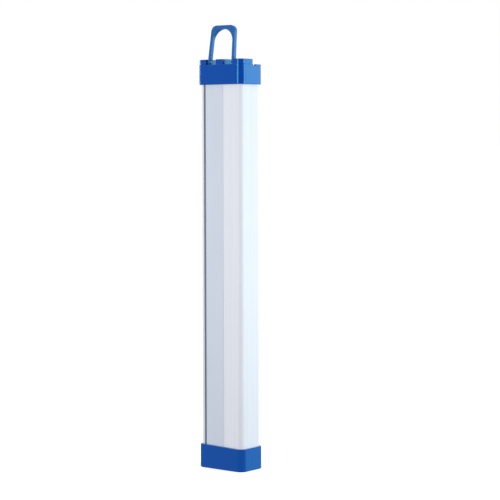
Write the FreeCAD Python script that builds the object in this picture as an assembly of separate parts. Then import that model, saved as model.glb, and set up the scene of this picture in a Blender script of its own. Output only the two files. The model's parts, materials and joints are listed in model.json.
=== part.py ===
import FreeCAD, Part
import math
import os

from FreeCAD import Vector

# LED light bar that stands on its lower cap or hangs from a folding hook. Millimetres, +Z up the bar.
# Origin: centre of the underside of the lower cap. -Y is the lit front, +Y is the flat magnetic back.

# ---- driving dimensions ----
TOTAL_H = 320.0            # underside of the lower cap to the top of the raised band
CAP_W = 28.0               # caps, across the front (X)
CAP_D = 44.0               # caps, front to back (Y)
CAP_R_FRONT = 5.5
CAP_R_BACK = 4.0
BODY_INSET = 1.7           # the body stands this far inside the caps, all round
CAP_CLEARANCE = 0.1        # between a cap's pocket and the body
CAP_EDGE = 0.6             # rounding of the caps' outer rims

LOWER_CAP_H = 18.25        # at mid depth
LOWER_RIM_DROP = 1.0       # the rim is lower at the front than at the back by this much
TOE_R = 1.0                # rounding under the lower cap
UNDERSIDE_DEPTH = 1.4
UNDERSIDE_HALF_X = CAP_W / 2 - 3.4
UNDERSIDE_HALF_Y = CAP_D / 2 - 4.5
UNDERSIDE_R = 2.5
LOWER_FLOOR_TOP = 3.6

UPPER_RIM_Z = 300.5
SHELF_Z = 316.0            # top of the wall round the sunk shelf, beside the raised band
SHELF_FLOOR_Z = 314.0
SHELF_WALL = 1.8
SHELF_OPEN_Y = CAP_D / 2 - CAP_R_FRONT  # the shelf is open at the fold side between these corners
NOTCH_R = 1.85
NOTCH_RISE = 0.35          # centre of the thumb notch above the shelf's wall
BAND_INSET = 0.4
BAND_END_X = 0.7           # the raised band runs from the hinge side to here
ROOF_UNDER_Z = 311.2
SEAL_T = 1.0

WALL = 1.6                 # housing and diffuser walls
SPLIT_Y = -2.6             # seam between diffuser and housing
SPLIT_GAP = 0.12
PLATE_T = 3.5
PLATE_POCKET = 1.7         # hollow in the plate's inner side, which holds the magnets
PLATE_POCKET_HALF_X = 9.6
GASKET_T = 2.0             # rubber frame between housing and back plate
GASKET_SUNK = 0.5
GASKET_W = 2.0
BACK_WALL = 1.2

PIVOT_X = -CAP_W / 2 + 3.6
PIVOT_Z = 318.0
HOOK_H = 28.3              # pivot to outer top
HOOK_T = 3.6
HOOK_BASE_OUT = 12.8       # half widths, across Y
HOOK_BASE_IN = 10.6
HOOK_TOP_OUT = 11.5
HOOK_BAR = 2.8             # crossbar height at its middle
HOOK_ARCH_R = 10.0         # half-round inner top
HOOK_CORNER_R = 4.5
HOOK_EDGE = 0.5
HOOK_LEAN = 7.0            # degrees off vertical, towards the fold
PIN_R = 0.9
PIN_RUNNING = 0.05
SLOT_GAP = 0.4
ISLAND_HALF = 3.5          # the band between the hook's two channels
PIN_REACH = 2.6            # length of a pin inside the cap's outer wall

SCREW_X = 6.3              # clear of the upright hook's legs
SCREW_Y = 10.2
SCREW_R = 1.1
SCREW_HEAD_R = 2.1
SCREW_LEN = 10.0
SCREW_HEAD_H = 1.2
SCREW_MOUTH = 3.0          # free depth above the head
SCREW_CLEARANCE = 0.12
BOSS_R = 2.4
BOSS_LEN = 16.0

CELL_R = 9.15
CELL_LEN = 65.0
CELL_START_Z = 62.0
CELL_PITCH = 67.0
CELL_COUNT = 2
CELL_CAP_R = 3.2
CELL_CAP_H = 0.8
TAB_T = 0.4
TAB_HALF = 4.0
WIRE_R = 0.6
WIRE_BEND = 4.0

TRAY_T = 1.4
TRAY_Z0 = 16.0
TRAY_Z1 = 302.0
TRAY_WING_T = 1.1
BOARD_T = 1.2
BOARD_HALF = 6.0
BOARD_Z0 = 20.0
BOARD_Z1 = 298.0
CHIP_COUNT = 26
CHIP_PITCH = 10.2
CHIP_FIRST_Z = 36.0
CHIP_HALF_X = 1.4
CHIP_HALF_Z = 1.75
CHIP_T = 0.8
CHIP_LENS_R = 1.1
BOARD_SCREW_Z = (31.0, 158.4, 291.0)

CONTROL_Z = 10.4
CONTROL_T = 1.2
SOCKET_Y = -8.0
BUTTON_Y = 3.0
BUTTON_R = 3.5
BUTTON_GAP = 0.3
LIGHT_X = 8.0
LIGHT_R = 1.3
SOCKET_HALF_X = 4.47
SOCKET_HALF_Y = 1.58
SOCKET_SHELL = 0.3
PLUG_HALF_X = 6.4
PLUG_Z0 = 0.25
PLUG_Z1 = 1.15
ANCHOR_Y = SOCKET_Y - 5.4

MAGNET_Z = (40.0, 275.0)
MAGNET_HALF_X = 9.0
MAGNET_HALF_Z = 5.0
MAGNET_T = 2.4

# ---- derived levels ----
BODY_W = CAP_W - 2 * BODY_INSET
BODY_D = CAP_D - 2 * BODY_INSET
BODY_Z0 = LOWER_FLOOR_TOP + SEAL_T
BODY_Z1 = ROOF_UNDER_Z - SEAL_T
BACK_Y = BODY_D / 2
PLATE_Y = BACK_Y - PLATE_T
MAGNET_BACK_Y = PLATE_Y + PLATE_POCKET
GASKET_Y = PLATE_Y - GASKET_T
INNER_BACK_Y = GASKET_Y - BACK_WALL
INNER_X = BODY_W / 2 - WALL
CELL_Y = INNER_BACK_Y - 0.3 - CELL_R
TRAY_BACK_Y = CELL_Y - CELL_R - 0.3
BOARD_BACK_Y = TRAY_BACK_Y - TRAY_T
BOARD_FRONT_Y = BOARD_BACK_Y - BOARD_T
CHANNEL_FLOOR_Z = PIVOT_Z - HOOK_T / 2 - 0.35
TOP_SCREW_Z = SHELF_FLOOR_Z - 0.2
CONTROL_TOP = CONTROL_Z + CONTROL_T
CELL_TOP_Z = CELL_START_Z + (CELL_COUNT - 1) * CELL_PITCH + CELL_LEN


# ---- small helpers ----
def box(x0, x1, y0, y1, z0, z1):
    return Part.makeBox(x1 - x0, y1 - y0, z1 - z0, Vector(x0, y0, z0))


def rod_z(x, y, z0, z1, radius):
    return Part.makeCylinder(radius, z1 - z0, Vector(x, y, z0), Vector(0, 0, 1))


def rod_y(x, z, y0, y1, radius):
    return Part.makeCylinder(radius, y1 - y0, Vector(x, y0, z), Vector(0, 1, 0))


def mirrored(side, inner, outer):
    """The interval from inner to outer on the given side (+1 or -1), in rising order."""
    return sorted((side * inner, side * outer))


def polygon_prism(points, direction):
    wire = Part.makePolygon(points + [points[0]])
    return Part.Face(wire).extrude(direction)


def rounded_face(half_x, y0, y1, r_front, r_back, z):
    """Rectangle from -half_x to half_x and y0 to y1, with its own radius at the front and back corners."""
    corners = [
        (half_x, y0, r_front, -90.0),
        (half_x, y1, r_back, 0.0),
        (-half_x, y1, r_back, 90.0),
        (-half_x, y0, r_front, 180.0),
    ]
    arcs = []
    for x, y, radius, start in corners:
        cx = x - math.copysign(radius, x)
        cy = y + radius if y == y0 else y - radius
        points = []
        for angle in (start, start + 45.0, start + 90.0):
            a = math.radians(angle)
            points.append(Vector(cx + radius * math.cos(a), cy + radius * math.sin(a), z))
        arcs.append(Part.Arc(*points).toShape())
    edges = []
    for index, arc in enumerate(arcs):
        following = arcs[(index + 1) % len(arcs)]
        edges.append(arc)
        edges.append(Part.LineSegment(arc.Vertexes[-1].Point, following.Vertexes[0].Point).toShape())
    return Part.Face(Part.Wire(edges))


def cap_section(inset, z0, z1):
    """Prism with the caps' outline, shrunk by inset."""
    face = rounded_face(CAP_W / 2 - inset, inset - CAP_D / 2, CAP_D / 2 - inset,
                        CAP_R_FRONT - inset, CAP_R_BACK - inset, z0)
    return face.extrude(Vector(0, 0, z1 - z0))


def edges_at(shape, z):
    """Edges that lie flat at height z."""
    found = []
    for edge in shape.Edges:
        bounds = edge.BoundBox
        if abs(bounds.ZMin - z) < 1e-4 and abs(bounds.ZMax - z) < 1e-4:
            found.append(edge)
    return found


def save(name, shape):
    shape.exportStep("parts/" + name + ".step")
    print(name, len(shape.Solids), "solids", round(shape.Volume, 1), "valid", shape.isValid())


def screw_places():
    return [(-SCREW_X, SCREW_Y), (SCREW_X, SCREW_Y)]


def countersunk_screw(x, y, head_z, direction):
    """Screw whose flat head face is at head_z and whose shank runs along direction (+1 up, -1 down)."""
    axis = Vector(0, 0, direction)
    head = Part.makeCone(SCREW_HEAD_R, SCREW_R, SCREW_HEAD_H, Vector(x, y, head_z), axis)
    shank = Part.makeCylinder(SCREW_R, SCREW_LEN, Vector(x, y, head_z), axis)
    slot_z = sorted((head_z, head_z + 0.7 * direction))
    across = box(x - 1.1, x + 1.1, y - 0.25, y + 0.25, *slot_z)
    along = box(x - 0.25, x + 0.25, y - 1.1, y + 1.1, *slot_z)
    return head.fuse(shank).cut(across.fuse(along)).removeSplitter()


def screw_hole(x, y, head_z, direction):
    """Clearance hole and countersink, a little larger than the screw."""
    axis = Vector(0, 0, direction)
    place = Vector(x, y, head_z)
    head_r = SCREW_HEAD_R + SCREW_CLEARANCE
    shank_r = SCREW_R + SCREW_CLEARANCE
    sink = Part.makeCone(head_r, shank_r, SCREW_HEAD_H, place, axis)
    mouth = Part.makeCylinder(head_r, SCREW_MOUTH, place, Vector(0, 0, -direction))
    hole = Part.makeCylinder(shank_r, SCREW_LEN, place, axis)
    return sink.fuse([mouth, hole])


# ---- caps ----
def lower_cap():
    z_front = LOWER_CAP_H - LOWER_RIM_DROP / 2
    z_back = LOWER_CAP_H + LOWER_RIM_DROP / 2
    above = polygon_prism([
        Vector(-CAP_W, -CAP_D / 2, z_front),
        Vector(-CAP_W, CAP_D / 2, z_back),
        Vector(-CAP_W, CAP_D / 2, 2 * z_back),
        Vector(-CAP_W, -CAP_D / 2, 2 * z_back),
    ], Vector(2 * CAP_W, 0, 0))
    cap = cap_section(0.0, 0.0, z_back + 1.0).cut(above)
    cap = cap.makeFillet(TOE_R, edges_at(cap, 0.0))
    rim = [edge for edge in cap.Edges if edge.BoundBox.ZMin > z_front - 0.1]
    cap = cap.makeChamfer(CAP_EDGE * 0.6, rim)
    cap = cap.cut(cap_section(BODY_INSET - CAP_CLEARANCE, LOWER_FLOOR_TOP, TOTAL_H))
    recess = rounded_face(UNDERSIDE_HALF_X, -UNDERSIDE_HALF_Y, UNDERSIDE_HALF_Y,
                          UNDERSIDE_R, UNDERSIDE_R, -1.0)
    cap = cap.cut(recess.extrude(Vector(0, 0, 1.0 + UNDERSIDE_DEPTH)))
    cap = cap.cut(rod_z(0, BUTTON_Y, 0.0, LOWER_FLOOR_TOP, BUTTON_R + BUTTON_GAP))
    cap = cap.cut(rod_z(LIGHT_X, BUTTON_Y, 0.0, LOWER_FLOOR_TOP, LIGHT_R + 0.02))
    cap = cap.cut(rod_z(0, ANCHOR_Y, 0.0, LOWER_FLOOR_TOP, 1.0))
    socket_gap = 0.25
    cap = cap.cut(rounded_slot(SOCKET_HALF_X + socket_gap, SOCKET_HALF_Y + socket_gap, 0.0, LOWER_FLOOR_TOP))
    for x, y in screw_places():
        cap = cap.cut(screw_hole(x, y, UNDERSIDE_DEPTH, 1))
    return cap


def rounded_slot(half_x, half_y, z0, z1):
    """Stadium-shaped prism on the socket's axis."""
    middle = box(-half_x + half_y, half_x - half_y, SOCKET_Y - half_y, SOCKET_Y + half_y, z0, z1)
    left = rod_z(-half_x + half_y, SOCKET_Y, z0, z1, half_y)
    right = rod_z(half_x - half_y, SOCKET_Y, z0, z1, half_y)
    return middle.fuse([left, right]).removeSplitter()


def upper_cap():
    wall = cap_section(0.0, UPPER_RIM_Z, SHELF_Z)
    wall = wall.makeFillet(CAP_EDGE, edges_at(wall, UPPER_RIM_Z))
    wall = wall.makeFillet(0.35, edges_at(wall, SHELF_Z))
    band = cap_section(BAND_INSET, SHELF_Z - 1.0, TOTAL_H)
    band = band.cut(box(BAND_END_X, CAP_W, -CAP_D, CAP_D, SHELF_Z - 2.0, TOTAL_H + 1.0))
    band = band.makeFillet(0.5, edges_at(band, TOTAL_H))
    cap = wall.fuse(band).removeSplitter()
    cap = cap.cut(cap_section(BODY_INSET - CAP_CLEARANCE, 0.0, ROOF_UNDER_Z))
    channel_out = HOOK_BASE_OUT + SLOT_GAP
    for side in (-1, 1):
        near, far = mirrored(side, ISLAND_HALF, channel_out)
        cap = cap.cut(box(-CAP_W, BAND_END_X + 1.0, near, far, CHANNEL_FLOOR_Z, TOTAL_H + 1.0))
    cap = cap.cut(shelf_space())
    notch_x = BAND_END_X + NOTCH_R + 0.1
    notch_z = SHELF_Z + NOTCH_RISE
    cap = cap.cut(rod_y(notch_x, notch_z, -CAP_D, CAP_D, NOTCH_R))
    cap = cap.cut(Part.makeSphere(2 * NOTCH_R, Vector(notch_x, -CAP_D / 2 - 3.2, notch_z)))
    for pin in pin_rods():
        cap = cap.cut(pin)
    for x, y in screw_places():
        cap = cap.cut(screw_hole(x, y, TOP_SCREW_Z, -1))
    return cap


def shelf_space():
    """Room above the sunk shelf: everything beside the band but the low wall at its front and back."""
    room = box(BAND_END_X, CAP_W, -CAP_D, CAP_D, SHELF_FLOOR_Z, TOTAL_H)
    wall = cap_section(0.0, SHELF_FLOOR_Z - 1.0, SHELF_Z).cut(cap_section(SHELF_WALL, 0.0, TOTAL_H))
    wall = wall.cut(box(-CAP_W, CAP_W, -SHELF_OPEN_Y, SHELF_OPEN_Y, 0.0, TOTAL_H))
    return room.cut(wall)


# ---- hook ----
def hook_outline():
    """Closed outline in the YZ plane of a tapered loop with a half-round inner top, open at the pivot."""
    base = PIVOT_Z
    top = PIVOT_Z + HOOK_H
    corner_z = top - HOOK_CORNER_R
    taper = (HOOK_BASE_OUT - HOOK_TOP_OUT) / HOOK_H
    corner_y = HOOK_TOP_OUT + taper * HOOK_CORNER_R
    bend = HOOK_CORNER_R * (1 - math.sqrt(0.5))
    arch_top = top - HOOK_BAR
    arch_z = arch_top - HOOK_ARCH_R
    shapes = [
        Part.LineSegment(Vector(0, HOOK_CORNER_R - HOOK_TOP_OUT, top),
                         Vector(0, HOOK_TOP_OUT - HOOK_CORNER_R, top)).toShape(),
        Part.Arc(Vector(0, -HOOK_ARCH_R, arch_z),
                 Vector(0, 0, arch_top),
                 Vector(0, HOOK_ARCH_R, arch_z)).toShape(),
    ]
    for side in (-1, 1):
        foot_out = Vector(0, side * HOOK_BASE_OUT, base)
        foot_in = Vector(0, side * HOOK_BASE_IN, base)
        corner = Vector(0, side * corner_y, corner_z)
        shoulder = Vector(0, side * (HOOK_TOP_OUT - bend), top - bend)
        crown = Vector(0, side * (HOOK_TOP_OUT - HOOK_CORNER_R), top)
        shapes.append(Part.LineSegment(foot_out, corner).toShape())
        shapes.append(Part.Arc(corner, shoulder, crown).toShape())
        shapes.append(Part.LineSegment(foot_out, foot_in).toShape())
        shapes.append(Part.LineSegment(foot_in, Vector(0, side * HOOK_ARCH_R, arch_z)).toShape())
    return Part.Wire(Part.__sortEdges__(shapes))


def hook():
    blade = Part.Face(hook_outline()).extrude(Vector(HOOK_T, 0, 0))
    blade.translate(Vector(PIVOT_X - HOOK_T / 2, 0, 0))
    long_edges = []
    for edge in blade.Edges:
        bounds = edge.BoundBox
        flat = bounds.XMax - bounds.XMin < 1e-4
        if flat and bounds.ZMax > PIVOT_Z + 1.0:
            long_edges.append(edge)
    blade = blade.makeFillet(HOOK_EDGE, long_edges)
    loop = blade
    for side in (-1, 1):
        near, far = mirrored(side, HOOK_BASE_IN, HOOK_BASE_OUT)
        loop = loop.fuse(rod_y(PIVOT_X, PIVOT_Z, near, far, HOOK_T / 2))
    loop = loop.removeSplitter()
    loop = loop.cut(rod_y(PIVOT_X, PIVOT_Z, -CAP_D, CAP_D, PIN_R + PIN_RUNNING))
    loop.rotate(Vector(PIVOT_X, 0, PIVOT_Z), Vector(0, 1, 0), HOOK_LEAN)
    return loop


def pin_rods():
    """Stub pins, each held in the cap's outer wall and reaching through one leg of the hook."""
    rods = []
    for side in (-1, 1):
        near, far = mirrored(side, HOOK_BASE_IN + 0.1, HOOK_BASE_OUT + SLOT_GAP + PIN_REACH)
        rods.append(rod_y(PIVOT_X, PIVOT_Z, near, far, PIN_R))
    return rods


# ---- body shell ----
def body_section(inset, z0, z1):
    r_front = max(CAP_R_FRONT - BODY_INSET - inset, 0.6)
    r_back = max(CAP_R_BACK - BODY_INSET - inset, 0.6)
    face = rounded_face(BODY_W / 2 - inset, inset - BODY_D / 2, BODY_D / 2 - inset, r_front, r_back, z0)
    return face.extrude(Vector(0, 0, z1 - z0))


def diffuser_cover():
    tube = body_section(0.0, BODY_Z0, BODY_Z1).cut(body_section(WALL, BODY_Z0 - 1.0, BODY_Z1 + 1.0))
    return tube.cut(box(-CAP_W, CAP_W, SPLIT_Y, CAP_D, 0.0, TOTAL_H))


def housing():
    outer = body_section(0.0, BODY_Z0, BODY_Z1)
    outer = outer.cut(box(-CAP_W, CAP_W, -CAP_D, SPLIT_Y + SPLIT_GAP, 0.0, TOTAL_H))
    outer = outer.cut(box(-CAP_W, CAP_W, GASKET_Y, CAP_D, 0.0, TOTAL_H))
    hollow = box(-INNER_X, INNER_X, -CAP_D, INNER_BACK_Y, 0.0, TOTAL_H)
    shell = outer.cut(hollow)
    for x, y in screw_places():
        wall_x = math.copysign(INNER_X + 0.3, x)
        for z0, z1 in ((BODY_Z0, BODY_Z0 + BOSS_LEN), (BODY_Z1 - BOSS_LEN, BODY_Z1)):
            web = box(min(x, wall_x), max(x, wall_x), y - 1.0, y + 1.0, z0, z1)
            shell = shell.fuse([rod_z(x, y, z0, z1, BOSS_R), web])
    shell = shell.removeSplitter()
    for x, y in screw_places():
        shell = shell.cut(rod_z(x, y, 0.0, TOTAL_H, SCREW_R))
    return shell


def back_plate():
    plate = body_section(0.0, BODY_Z0, BODY_Z1)
    plate = plate.cut(box(-CAP_W, CAP_W, -CAP_D, PLATE_Y, 0.0, TOTAL_H))
    half = PLATE_POCKET_HALF_X
    end = BODY_W / 2 - half
    return plate.cut(box(-half, half, 0.0, MAGNET_BACK_Y, BODY_Z0 + end, BODY_Z1 - end))


def back_gasket():
    """Rubber frame round the joint of housing and back plate. Its edge shows as a dark line."""
    half = BODY_W / 2 - GASKET_SUNK
    frame = box(-half, half, GASKET_Y, PLATE_Y, BODY_Z0, BODY_Z1)
    inner = half - GASKET_W
    return frame.cut(box(-inner, inner, 0.0, CAP_D, BODY_Z0 + GASKET_W, BODY_Z1 - GASKET_W))


def back_magnets():
    blocks = []
    for z in MAGNET_Z:
        z0 = z - MAGNET_HALF_Z
        z1 = z + MAGNET_HALF_Z
        blocks.append(box(-MAGNET_HALF_X, MAGNET_HALF_X, MAGNET_BACK_Y - MAGNET_T, MAGNET_BACK_Y, z0, z1))
    return Part.Compound(blocks)


def seal(z0):
    """Gasket frame between a cap and the end of the body."""
    return body_section(0.0, z0, z0 + SEAL_T).cut(body_section(WALL, z0 - 1.0, z0 + SEAL_T + 1.0))


# ---- light engine ----
def reflector():
    floor_half = BOARD_HALF + 1.6
    bed_half = floor_half - 0.8
    wing_x = INNER_X - 0.3
    wing_y = -BODY_D / 2 + WALL + 2.4
    lip_x = wing_x - TRAY_WING_T
    outline = [
        (-floor_half, TRAY_BACK_Y), (floor_half, TRAY_BACK_Y), (wing_x, wing_y), (lip_x, wing_y),
        (bed_half, BOARD_BACK_Y), (-bed_half, BOARD_BACK_Y), (-lip_x, wing_y), (-wing_x, wing_y),
    ]
    points = [Vector(x, y, TRAY_Z0) for x, y in outline]
    tray = polygon_prism(points, Vector(0, 0, TRAY_Z1 - TRAY_Z0))
    for z in BOARD_SCREW_Z:
        tray = tray.cut(rod_y(0.0, z, -CAP_D, CAP_D, 0.9))
    return tray


def led_board():
    board = box(-BOARD_HALF, BOARD_HALF, BOARD_FRONT_Y, BOARD_BACK_Y, BOARD_Z0, BOARD_Z1)
    for z in BOARD_SCREW_Z:
        board = board.cut(rod_y(0.0, z, -CAP_D, CAP_D, 1.0))
    return board


def chip_heights():
    """Evenly spaced, leaving out the places of the board's screws."""
    heights = []
    for index in range(CHIP_COUNT):
        z = CHIP_FIRST_Z + index * CHIP_PITCH
        if all(abs(z - screw) > 4.0 for screw in BOARD_SCREW_Z):
            heights.append(z)
    return heights


def led_chips():
    chips = []
    for z in chip_heights():
        face_y = BOARD_FRONT_Y - CHIP_T
        chip = box(-CHIP_HALF_X, CHIP_HALF_X, face_y, BOARD_FRONT_Y, z - CHIP_HALF_Z, z + CHIP_HALF_Z)
        lens = rod_y(0.0, z, face_y - 0.1, face_y + 0.1, CHIP_LENS_R)
        chips.append(chip.fuse(lens).removeSplitter())
    return Part.Compound(chips)


def led_board_screws():
    screws = []
    for z in BOARD_SCREW_Z:
        head = rod_y(0.0, z, BOARD_FRONT_Y - 1.2, BOARD_FRONT_Y, 1.8)
        shank = rod_y(0.0, z, BOARD_FRONT_Y - 0.5, TRAY_BACK_Y + 0.1, 0.9)
        slot = box(-1.2, 1.2, BOARD_FRONT_Y - 1.3, BOARD_FRONT_Y - 0.7, z - 0.2, z + 0.2)
        screws.append(head.fuse(shank).cut(slot).removeSplitter())
    return Part.Compound(screws)


def led_connector():
    shell = box(-3.0, 3.0, BOARD_FRONT_Y - 3.2, BOARD_FRONT_Y, BOARD_Z0 + 1.0, BOARD_Z0 + 7.0)
    mouth = box(-2.3, 2.3, BOARD_FRONT_Y - 2.7, BOARD_FRONT_Y - 0.6, BOARD_Z0, BOARD_Z0 + 4.5)
    return shell.cut(mouth)


# ---- battery ----
def battery_cells():
    cells = []
    for index in range(CELL_COUNT):
        z0 = CELL_START_Z + index * CELL_PITCH
        can = rod_z(0.0, CELL_Y, z0, z0 + CELL_LEN, CELL_R)
        can = can.makeFillet(0.6, edges_at(can, z0) + edges_at(can, z0 + CELL_LEN))
        button = rod_z(0.0, CELL_Y, z0 + CELL_LEN, z0 + CELL_LEN + CELL_CAP_H, CELL_CAP_R)
        cells.append(can.fuse(button).removeSplitter())
    return Part.Compound(cells)


def battery_cradle():
    front = TRAY_BACK_Y + 0.1
    rear = CELL_Y - 1.0
    block = box(-INNER_X + 0.15, INNER_X - 0.15, front, rear, CELL_START_Z - 5.0, CELL_TOP_Z + 5.0)
    bore = rod_z(0.0, CELL_Y, CELL_START_Z - 2.4, CELL_TOP_Z + 2.4, CELL_R + 0.3)
    return block.cut(bore)


def battery_tabs():
    bottom_z = CELL_START_Z - 0.1 - TAB_T
    tabs = [box(-TAB_HALF, TAB_HALF, CELL_Y, CELL_Y + 5.0, bottom_z, bottom_z + TAB_T)]
    for can_end in (CELL_START_Z + CELL_LEN, CELL_TOP_Z):
        z0 = can_end + CELL_CAP_H + 0.05
        tabs.append(box(-TAB_HALF, TAB_HALF, CELL_Y - 2.0, CELL_Y + 2.0, z0, z0 + TAB_T))
    return Part.Compound(tabs)


def bent_wire(points, bend_r, wire_r):
    """Round wire through the points, with an arc of bend_r at each inner point."""
    edges = []
    start = points[0]
    for index in range(1, len(points) - 1):
        corner = points[index]
        u = (points[index - 1] - corner).normalize()
        v = (points[index + 1] - corner).normalize()
        a = corner + u * bend_r
        b = corner + v * bend_r
        centre = corner + (u + v) * bend_r
        middle = centre - (u + v).normalize() * bend_r
        edges.append(Part.LineSegment(start, a).toShape())
        edges.append(Part.Arc(a, middle, b).toShape())
        start = b
    edges.append(Part.LineSegment(start, points[-1]).toShape())
    path = Part.Wire(edges)
    direction = (points[1] - points[0]).normalize()
    profile = Part.Wire([Part.makeCircle(wire_r, points[0], direction)])
    return path.makePipeShell([profile], True, False)


def wire_red():
    x = INNER_X - 0.8
    top = CELL_TOP_Z + 3.4
    side_y = CELL_Y + 1.5
    return bent_wire([
        Vector(x, side_y, CONTROL_TOP),
        Vector(x, side_y, top),
        Vector(2.0, side_y, top),
    ], WIRE_BEND, WIRE_R)


def wire_black():
    return rod_z(-3.0, CELL_Y + 2.0, CONTROL_TOP, CELL_START_Z - 0.1 - TAB_T, WIRE_R)


def led_leads():
    y = BOARD_FRONT_Y - 1.7
    leads = [rod_z(x, y, CONTROL_TOP, BOARD_Z0 + 4.5, 0.5) for x in (-1.2, 1.2)]
    return Part.Compound(leads)


# ---- controls in the lower cap ----
def control_board():
    half_x = INNER_X - 0.2
    return box(-half_x, half_x, ANCHOR_Y - 0.8, CELL_Y + 2.9, CONTROL_Z, CONTROL_TOP)


def usb_socket():
    outer = rounded_slot(SOCKET_HALF_X, SOCKET_HALF_Y, UNDERSIDE_DEPTH + 0.5, CONTROL_Z)
    bore = rounded_slot(SOCKET_HALF_X - SOCKET_SHELL, SOCKET_HALF_Y - SOCKET_SHELL, 0.0, CONTROL_Z - 1.5)
    tongue = box(-3.3, 3.3, SOCKET_Y - 0.35, SOCKET_Y + 0.35, UNDERSIDE_DEPTH + 2.6, CONTROL_Z - 1.4)
    return outer.cut(bore).fuse(tongue).removeSplitter()


def switch_body():
    block = box(-3.0, 3.0, BUTTON_Y - 3.0, BUTTON_Y + 3.0, 7.0, CONTROL_Z)
    return block.cut(rod_z(0.0, BUTTON_Y, 6.0, 8.6, 1.9))


def switch_plunger():
    return rod_z(0.0, BUTTON_Y, 4.8, 7.6, 1.7)


def power_button():
    crown = rod_z(0.0, BUTTON_Y, 0.5, 4.2, BUTTON_R)
    crown = crown.makeFillet(0.4, edges_at(crown, 0.5))
    flange = rod_z(0.0, BUTTON_Y, 4.0, 4.8, BUTTON_R + 1.2)
    dimple = Part.makeSphere(9.0, Vector(0.0, BUTTON_Y, -8.1))
    return crown.fuse(flange).cut(dimple).removeSplitter()


def indicator_window():
    return rod_z(LIGHT_X, BUTTON_Y, 1.1, CONTROL_Z - 0.9, LIGHT_R)


def control_parts():
    chip = box(2.0, 7.0, -4.0, 1.0, CONTROL_TOP, CONTROL_Z + 2.2)
    coil = rod_z(-7.0, -4.0, CONTROL_TOP, CONTROL_Z + 4.2, 2.5)
    lamp = box(LIGHT_X - 0.8, LIGHT_X + 0.8, BUTTON_Y - 0.4, BUTTON_Y + 0.4, CONTROL_Z - 0.6, CONTROL_Z)
    capacitor = rod_z(8.6, -9.6, CONTROL_TOP, CONTROL_Z + 5.2, 2.0)
    return Part.Compound([chip, coil, lamp, capacitor])


def usb_dust_plug():
    lid = box(-PLUG_HALF_X, PLUG_HALF_X, SOCKET_Y - 3.2, SOCKET_Y + 3.4, PLUG_Z0, PLUG_Z1)
    corners = [e for e in lid.Edges if abs(e.BoundBox.ZMax - e.BoundBox.ZMin) > 0.5]
    lid = lid.makeFillet(1.2, corners)
    pull = box(-2.0, 2.0, SOCKET_Y + 3.0, SOCKET_Y + 4.6, PLUG_Z0, PLUG_Z0 + 0.6)
    tongue = box(-3.7, 3.7, SOCKET_Y - 0.7, SOCKET_Y + 0.7, 1.0, 2.9)
    strap = box(-2.0, 2.0, SOCKET_Y - 3.9, SOCKET_Y - 3.0, PLUG_Z0, PLUG_Z1)
    return lid.fuse([pull, tongue, strap]).removeSplitter()


def dust_plug_anchor():
    foot = box(-2.0, 2.0, ANCHOR_Y - 1.2, ANCHOR_Y + 0.65, PLUG_Z0, UNDERSIDE_DEPTH - 0.1)
    stem = rod_z(0.0, ANCHOR_Y, UNDERSIDE_DEPTH - 0.2, LOWER_FLOOR_TOP, 0.95)
    barb = Part.makeCone(1.5, 0.8, 1.0, Vector(0, ANCHOR_Y, LOWER_FLOOR_TOP), Vector(0, 0, 1))
    return foot.fuse([stem, barb]).removeSplitter()


def main():
    os.makedirs("parts", exist_ok=True)
    save("bottom_cap", lower_cap())
    save("top_cap", upper_cap())
    save("hook", hook())
    save("hook_pins", Part.Compound(pin_rods()))
    save("diffuser_cover", diffuser_cover())
    save("base_housing", housing())
    save("back_plate", back_plate())
    save("back_gasket", back_gasket())
    save("back_magnets", back_magnets())
    save("bottom_seal", seal(LOWER_FLOOR_TOP))
    save("top_seal", seal(BODY_Z1))
    save("reflector", reflector())
    save("led_board", led_board())
    save("led_chips", led_chips())
    save("led_board_screws", led_board_screws())
    save("led_connector", led_connector())
    save("battery_cells", battery_cells())
    save("battery_cradle", battery_cradle())
    save("battery_tabs", battery_tabs())
    save("wire_red", wire_red())
    save("wire_black", wire_black())
    save("led_leads", led_leads())
    save("control_board", control_board())
    save("control_parts", control_parts())
    save("usb_socket", usb_socket())
    save("switch_body", switch_body())
    save("switch_plunger", switch_plunger())
    save("power_button", power_button())
    save("indicator_window", indicator_window())
    save("usb_dust_plug", usb_dust_plug())
    save("dust_plug_anchor", dust_plug_anchor())
    bottom = [countersunk_screw(x, y, UNDERSIDE_DEPTH, 1) for x, y in screw_places()]
    top = [countersunk_screw(x, y, TOP_SCREW_Z, -1) for x, y in screw_places()]
    save("bottom_cap_screws", Part.Compound(bottom))
    save("top_cap_screws", Part.Compound(top))


main()
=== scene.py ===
import json
import math

import bpy
from mathutils import Matrix, Vector

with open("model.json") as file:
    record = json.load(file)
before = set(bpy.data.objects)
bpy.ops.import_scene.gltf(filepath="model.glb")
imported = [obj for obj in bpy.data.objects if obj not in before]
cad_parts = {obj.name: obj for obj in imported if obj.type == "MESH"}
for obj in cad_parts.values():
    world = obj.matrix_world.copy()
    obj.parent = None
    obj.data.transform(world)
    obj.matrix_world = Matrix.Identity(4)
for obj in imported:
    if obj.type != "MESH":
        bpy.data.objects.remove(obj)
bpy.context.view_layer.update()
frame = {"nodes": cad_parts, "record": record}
NODES = frame["nodes"]

# ---- camera, in metres and degrees; lens and sensor in millimetres, shift in frame widths ----
CAMERA_AZIMUTH = -50.96
CAMERA_DISTANCE = 1.3817
CAMERA_HEIGHT = 0.2610
CAMERA_PITCH = 3.697
CAMERA_ROLL = -0.152
CAMERA_LENS = 127.37
CAMERA_SENSOR = 36
CAMERA_SHIFT_X = 0.0384

# ---- studio ----
FLOOR_SIZE = 60.0
FLOOR_GLOW = 0.45
DOWN = (0, 0, -1)
WHITE = (1.0, 1.0, 1.0, 1.0)
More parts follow.
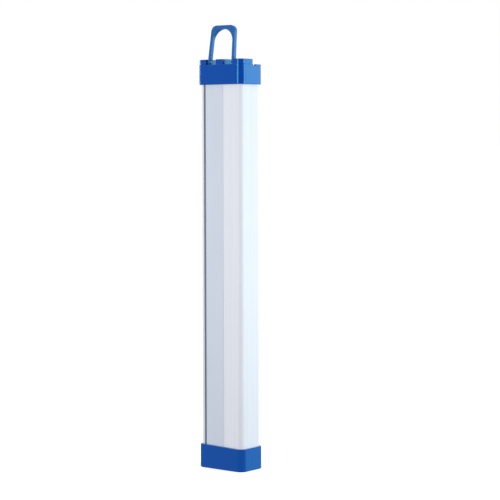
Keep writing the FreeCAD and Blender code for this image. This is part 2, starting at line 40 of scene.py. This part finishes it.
# Each tone lies round a direction of the world, the low and deep ones round DOWN, and grows from nothing to
# full over its edge, given as cosines of the angle from that direction.
FLAG_TONE = (0.16, 0.20, 0.27, 1.0)
FLAG_DIRECTION = (-0.87, -0.50, 0.10)
FLAG_EDGE = (0.0, 0.60)
LOW_TONE = (0.52, 0.54, 0.58, 1.0)
LOW_EDGE = (0.02, 0.15)
DEEP_TONE = (0.04, 0.06, 0.10, 1.0)
DEEP_EDGE = (0.50, 0.85)
KICK_TONE = (0.60, 1.15, 1.35, 1.0)
KICK_DIRECTION = (0.77, -0.62, -0.17)
KICK_EDGE = (0.86, 0.97)
WATTS_PER_AREA = 4.0       # for each square metre of a softbox and each unit of its strength
PLAIN = (1.0, 1.0, 1.0)
COOL = (0.84, 0.95, 1.0)
# name, azimuth from -X towards -Y, distance, low, high, width, strength, tone
SOFTBOXES = (
    ("front_box", 110, 0.60, 0.01, 0.48, 0.12, 5.6, PLAIN),
    ("fill_box", 141, 0.60, 0.01, 0.48, 0.34, 1.35, COOL),
    ("side_box", 0, 0.55, 0.0, 0.50, 0.23, 3.4, PLAIN),
    ("rim_box", -85, 0.60, 0.02, 0.50, 0.10, 5.0, PLAIN),
)


def linear(red, green, blue):
    """Linear colour of an sRGB triple given from 0 to 255."""
    out = []
    for value in (red, green, blue):
        c = value / 255
        out.append(c / 12.92 if c <= 0.04045 else ((c + 0.055) / 1.055) ** 2.4)
    return (*out, 1.0)


# ---- material helpers ----
def mix_colours(tree, factor, first, second):
    """Socket that goes from first to second, each a colour or a socket, as factor goes from 0 to 1."""
    node = tree.nodes.new("ShaderNodeMix")
    node.data_type = "RGBA"
    tree.links.new(factor, node.inputs["Factor"])
    for socket, value in ((node.inputs["A"], first), (node.inputs["B"], second)):
        if isinstance(value, tuple):
            socket.default_value = value
        else:
            tree.links.new(value, socket)
    return node.outputs["Result"]


class Paint:
    """A principled material with object coordinates in metres, and short ways to add detail."""

    def __init__(self, name, colour, roughness, metallic=0.0, specular=0.5):
        self.material = bpy.data.materials.new(name)
        self.material.use_nodes = True
        self.nodes = self.material.node_tree.nodes
        self.links = self.material.node_tree.links
        self.shader = self.nodes["Principled BSDF"]
        self.shader.inputs["Base Color"].default_value = colour
        self.shader.inputs["Roughness"].default_value = roughness
        self.shader.inputs["Metallic"].default_value = metallic
        self.shader.inputs["Specular IOR Level"].default_value = specular
        self.coords = self.nodes.new("ShaderNodeTexCoord").outputs["Object"]
        self.normal = None

    def noise(self, scale, detail=3.0, stretch=(1, 1, 1)):
        """Noise of about scale features a metre, drawn out along an axis where stretch is under 1."""
        mapping = self.nodes.new("ShaderNodeMapping")
        mapping.inputs["Scale"].default_value = stretch
        self.links.new(self.coords, mapping.inputs["Vector"])
        texture = self.nodes.new("ShaderNodeTexNoise")
        texture.inputs["Scale"].default_value = scale
        texture.inputs["Detail"].default_value = detail
        self.links.new(mapping.outputs["Vector"], texture.inputs["Vector"])
        return texture.outputs["Fac"]

    def spread(self, value, low, high, start=0.3, end=0.7):
        """value from start..end mapped to low..high."""
        node = self.nodes.new("ShaderNodeMapRange")
        node.inputs["From Min"].default_value = start
        node.inputs["From Max"].default_value = end
        node.inputs["To Min"].default_value = low
        node.inputs["To Max"].default_value = high
        self.links.new(value, node.inputs["Value"])
        return node.outputs["Result"]

    def mix(self, factor, first, second):
        return mix_colours(self.material.node_tree, factor, first, second)

    def set_colour(self, socket):
        self.links.new(socket, self.shader.inputs["Base Color"])

    def set_roughness(self, socket):
        self.links.new(socket, self.shader.inputs["Roughness"])

    def bump(self, value, strength, distance):
        """Relief up to distance high, in metres, on top of any bump added before."""
        node = self.nodes.new("ShaderNodeBump")
        node.inputs["Strength"].default_value = strength
        node.inputs["Distance"].default_value = distance
        self.links.new(value, node.inputs["Height"])
        if self.normal is not None:
            self.links.new(self.normal, node.inputs["Normal"])
        self.normal = node.outputs["Normal"]
        self.links.new(self.normal, self.shader.inputs["Normal"])


def shade(colour, factor):
    return (*[min(1.0, c * factor) for c in colour[:3]], 1.0)


def moulded(name, colour, roughness, grain=0.12, specular=0.5, tint=0.06):
    """Injection-moulded plastic: faint flow marks in tone, uneven gloss, and a fine spark-eroded grain."""
    paint = Paint(name, colour, roughness, specular=specular)
    flow = paint.noise(scale=45, detail=2.0, stretch=(1, 1, 0.35))
    paint.set_colour(paint.mix(paint.spread(flow, 0, 1), shade(colour, 1 - tint), shade(colour, 1 + tint)))
    patches = paint.noise(scale=260, detail=4.0)
    paint.set_roughness(paint.spread(patches, roughness * 0.82, roughness * 1.2))
    paint.bump(paint.noise(scale=1500, detail=2.0), strength=grain, distance=0.0002)
    paint.bump(paint.noise(scale=90, detail=1.0), strength=grain * 0.4, distance=0.0004)
    return paint


def metal(name, colour, roughness, brushed=(1, 1, 12)):
    """Drawn or turned metal with fine lines."""
    paint = Paint(name, colour, roughness, metallic=1.0)
    lines = paint.noise(scale=700, detail=3.0, stretch=brushed)
    paint.set_roughness(paint.spread(lines, roughness * 0.7, roughness * 1.5))
    paint.set_colour(paint.mix(paint.spread(lines, 0, 1), shade(colour, 0.85), shade(colour, 1.08)))
    paint.bump(lines, strength=0.12, distance=0.0001)
    return paint


def frosted(name, colour):
    """Extruded frosted diffuser: faint lines along the bar, a soft volume glow and a silky surface."""
    paint = Paint(name, colour, 0.34, specular=0.35)
    paint.shader.inputs["Subsurface Weight"].default_value = 0.3
    paint.shader.inputs["Subsurface Radius"].default_value = (0.0015, 0.0015, 0.0017)
    paint.shader.inputs["Subsurface Scale"].default_value = 1.0
    lines = paint.noise(scale=420, detail=2.0, stretch=(1, 1, 0.01))
    paint.set_colour(paint.mix(paint.spread(lines, 0, 1), shade(colour, 0.975), shade(colour, 1.02)))
    paint.set_roughness(paint.spread(paint.noise(scale=900, detail=3.0), 0.28, 0.42))
    paint.bump(lines, strength=0.05, distance=0.0002)
    paint.bump(paint.noise(scale=2600, detail=2.0), strength=0.05, distance=0.0001)
    return paint


def rubber(name, colour):
    """Dull rubber with a fine grain."""
    paint = Paint(name, colour, 0.75, specular=0.3)
    paint.set_roughness(paint.spread(paint.noise(scale=700, detail=4.0), 0.62, 0.88))
    paint.bump(paint.noise(scale=1800, detail=3.0), strength=0.25, distance=0.0002)
    return paint


def sleeve(name, colour):
    """Shrink sleeve with shallow wrinkles along the cell."""
    paint = Paint(name, colour, 0.28)
    paint.bump(paint.noise(scale=110, detail=3.0, stretch=(1, 1, 0.25)), strength=0.25, distance=0.0008)
    paint.set_roughness(paint.spread(paint.noise(scale=300), 0.2, 0.4))
    return paint


def solder_mask(name, colour, trace):
    """Circuit board with straight copper traces under the mask."""
    paint = Paint(name, colour, 0.35)
    brick = paint.nodes.new("ShaderNodeTexBrick")
    brick.inputs["Scale"].default_value = 260
    brick.inputs["Mortar Size"].default_value = 0.035
    brick.inputs["Color1"].default_value = colour
    brick.inputs["Color2"].default_value = shade(colour, 0.9)
    brick.inputs["Mortar"].default_value = trace
    paint.links.new(paint.coords, brick.inputs["Vector"])
    paint.set_colour(brick.outputs["Color"])
    paint.bump(brick.outputs["Fac"], strength=0.2, distance=0.0001)
    return paint


def clear(name, colour):
    """Clear plastic that lets most of the light through."""
    paint = Paint(name, colour, 0.12)
    paint.shader.inputs["Transmission Weight"].default_value = 0.8
    paint.bump(paint.noise(scale=500), strength=0.05, distance=0.0002)
    return paint


# ---- colours ----
CAP_BLUE = (0.002, 0.058, 0.400, 1.0)
CAP_SHEEN = (0.16, 0.74, 1.0, 1.0)
HOOK_BLUE = (0.024, 0.135, 0.420, 1.0)
HOOK_SHEEN = (0.25, 0.75, 1.0, 1.0)
HOUSING_WHITE = (0.735, 0.78, 0.84, 1.0)
PLATE_WHITE = (0.86, 0.88, 0.92, 1.0)
DIFFUSER_WHITE = (0.95, 0.94, 0.98, 1.0)


def cap_blue():
    """Polished plastic, as the narrow reflections along its corners show."""
    paint = moulded("cap_blue", CAP_BLUE, 0.14, grain=0.03, specular=1.0, tint=0.04)
    paint.shader.inputs["Specular Tint"].default_value = CAP_SHEEN
    return paint


def hook_blue():
    """The hook's plastic is a little lighter and duller than the caps'."""
    paint = moulded("hook_blue", HOOK_BLUE, 0.24, grain=0.05, specular=0.5)
    paint.shader.inputs["Specular Tint"].default_value = HOOK_SHEEN
    return paint


MATERIALS = {
    "cap_blue": cap_blue(),
    "hook_blue": hook_blue(),
    "frosted_plastic": frosted("frosted_plastic", DIFFUSER_WHITE),
    "housing_white": moulded("housing_white", HOUSING_WHITE, 0.42, grain=0.10, specular=0.35, tint=0.015),
    "plate_white": moulded("plate_white", PLATE_WHITE, 0.40, grain=0.18, specular=0.35, tint=0.015),
    "steel": metal("steel", linear(178, 180, 186), 0.28),
    "magnet": metal("magnet", linear(196, 197, 200), 0.18, brushed=(1, 1, 1)),
    "seal_rubber": rubber("seal_rubber", linear(54, 57, 63)),
    # The grey of the gasket in the groove is partly painted shade: it is darkened to stand in for the shadow
    # line between the housing and the back plate.
    "gasket_grey": rubber("gasket_grey", linear(124, 128, 138)),
    "reflector_white": moulded("reflector_white", linear(240, 240, 240), 0.25, grain=0.04, tint=0.01),
    "board_white": solder_mask("board_white", linear(236, 236, 234), linear(214, 206, 186)),
    "led_yellow": moulded("led_yellow", linear(246, 222, 120), 0.3, grain=0.05, tint=0.04),
    "connector_nylon": moulded("connector_nylon", linear(238, 232, 214), 0.45),
    "cell_sleeve": sleeve("cell_sleeve", linear(28, 132, 128)),
    "cradle_black": moulded("cradle_black", linear(30, 30, 33), 0.5, grain=0.2),
    "nickel": metal("nickel", linear(206, 200, 188), 0.2),
    "wire_red": moulded("wire_red", linear(196, 28, 24), 0.4),
    "wire_black": moulded("wire_black", linear(26, 26, 28), 0.4),
    "board_green": solder_mask("board_green", linear(24, 104, 58), linear(58, 142, 84)),
    "button_grey": rubber("button_grey", linear(96, 102, 114)),
    "clear_plastic": clear("clear_plastic", linear(232, 240, 246)),
}


def dress_nodes():
    for part in frame["record"]["subparts"]:
        piece = NODES[part["node"]]
        piece.data.materials.clear()
        piece.data.materials.append(MATERIALS[part["material_slot"]].material)


# ---- floor, world, softboxes and camera ----
def add_floor():
    mesh = bpy.data.meshes.new("floor")
    half = FLOOR_SIZE / 2
    corners = [(-half, -half, 0), (half, -half, 0), (half, half, 0), (-half, half, 0)]
    mesh.from_pydata(corners, [], [(0, 1, 2, 3)])
    floor = bpy.data.objects.new("floor", mesh)
    bpy.context.scene.collection.objects.link(floor)
    paint = Paint("floor_paper", linear(250, 250, 251), 0.9, specular=0.1)
    paint.bump(paint.noise(scale=300, detail=2.0), strength=0.02, distance=0.0005)
    paint.shader.inputs["Emission Color"].default_value = WHITE
    paint.shader.inputs["Emission Strength"].default_value = FLOOR_GLOW
    mesh.materials.append(paint.material)
    floor.visible_diffuse = False
    floor.visible_glossy = False


def add_world():
    """White backdrop for the camera.

    What lights the bar is white too, but for a cool dark flag at the camera's side, a dim lower half that is
    darkest straight down, and a bright cyan-blue patch that the front faces of the caps reflect.
    """
    world = bpy.data.worlds.new("studio")
    world.use_nodes = True
    bpy.context.scene.world = world
    tree = world.node_tree
    nodes = tree.nodes
    links = tree.links
    coords = nodes.new("ShaderNodeTexCoord").outputs["Generated"]

    def along(direction, edge):
        """0 to 1 as the direction looked in turns towards the given one."""
        dot = nodes.new("ShaderNodeVectorMath")
        dot.operation = "DOT_PRODUCT"
        dot.inputs[1].default_value = Vector(direction).normalized()
        links.new(coords, dot.inputs[0])
        ramp = nodes.new("ShaderNodeMapRange")
        ramp.interpolation_type = "SMOOTHSTEP"
        ramp.inputs["From Min"].default_value, ramp.inputs["From Max"].default_value = edge
        links.new(dot.outputs["Value"], ramp.inputs["Value"])
        return ramp.outputs["Result"]

    flagged = mix_colours(tree, along(FLAG_DIRECTION, FLAG_EDGE), WHITE, FLAG_TONE)
    dimmed = mix_colours(tree, along(DOWN, LOW_EDGE), flagged, LOW_TONE)
    deep = mix_colours(tree, along(DOWN, DEEP_EDGE), dimmed, DEEP_TONE)
    kicked = mix_colours(tree, along(KICK_DIRECTION, KICK_EDGE), deep, KICK_TONE)
    seen = mix_colours(tree, nodes.new("ShaderNodeLightPath").outputs["Is Camera Ray"], kicked, WHITE)
    links.new(seen, nodes["Background"].inputs["Color"])


def add_softbox(name, azimuth, distance, low, high, width, strength, tone):
    """Upright softbox that faces the bar and that the camera doesn't see.

    Its azimuth is in degrees from -X towards -Y and its other measures in metres. At a strength of 1 its
    radiance is WATTS_PER_AREA / pi, about 1.27 times that of white.
    """
    angle = math.radians(azimuth)
    place = Vector((-distance * math.cos(angle), -distance * math.sin(angle), (low + high) / 2))
    light = bpy.data.lights.new(name, "AREA")
    light.shape = "RECTANGLE"
    light.color = tone
    light.size = width
    light.size_y = high - low
    light.energy = strength * WATTS_PER_AREA * width * (high - low)
    lamp = bpy.data.objects.new(name, light)
    lamp.location = place
    lamp.rotation_euler = (Vector((0, 0, place.z)) - place).to_track_quat("-Z", "Y").to_euler()
    lamp.visible_camera = False
    bpy.context.scene.collection.objects.link(lamp)


def add_camera():
    """Camera whose azimuth turns it from -Y about +Z; a positive pitch looks down."""
    azimuth = math.radians(CAMERA_AZIMUTH)
    back = Vector((math.sin(azimuth), -math.cos(azimuth), 0))
    right = Vector((math.cos(azimuth), math.sin(azimuth), 0))
    up = Vector((0, 0, 1))
    pitch = math.radians(CAMERA_PITCH)
    ahead = -back * math.cos(pitch) - up * math.sin(pitch)
    lift = up * math.cos(pitch) - back * math.sin(pitch)
    roll = math.radians(CAMERA_ROLL)
    side = right * math.cos(roll) + lift * math.sin(roll)
    top = -right * math.sin(roll) + lift * math.cos(roll)
    camera = bpy.data.cameras.new("camera")
    camera.lens = CAMERA_LENS
    camera.sensor_width = CAMERA_SENSOR
    camera.shift_x = CAMERA_SHIFT_X
    holder = bpy.data.objects.new("camera", camera)
    place = back * CAMERA_DISTANCE + up * CAMERA_HEIGHT
    holder.matrix_world = Matrix.Translation(place) @ Matrix((side, top, -ahead)).transposed().to_4x4()
    bpy.context.scene.collection.objects.link(holder)
    bpy.context.scene.camera = holder


dress_nodes()
add_floor()
add_world()
for box in SOFTBOXES:
    add_softbox(*box)
add_camera()
bpy.context.scene.view_settings.view_transform = "Standard"
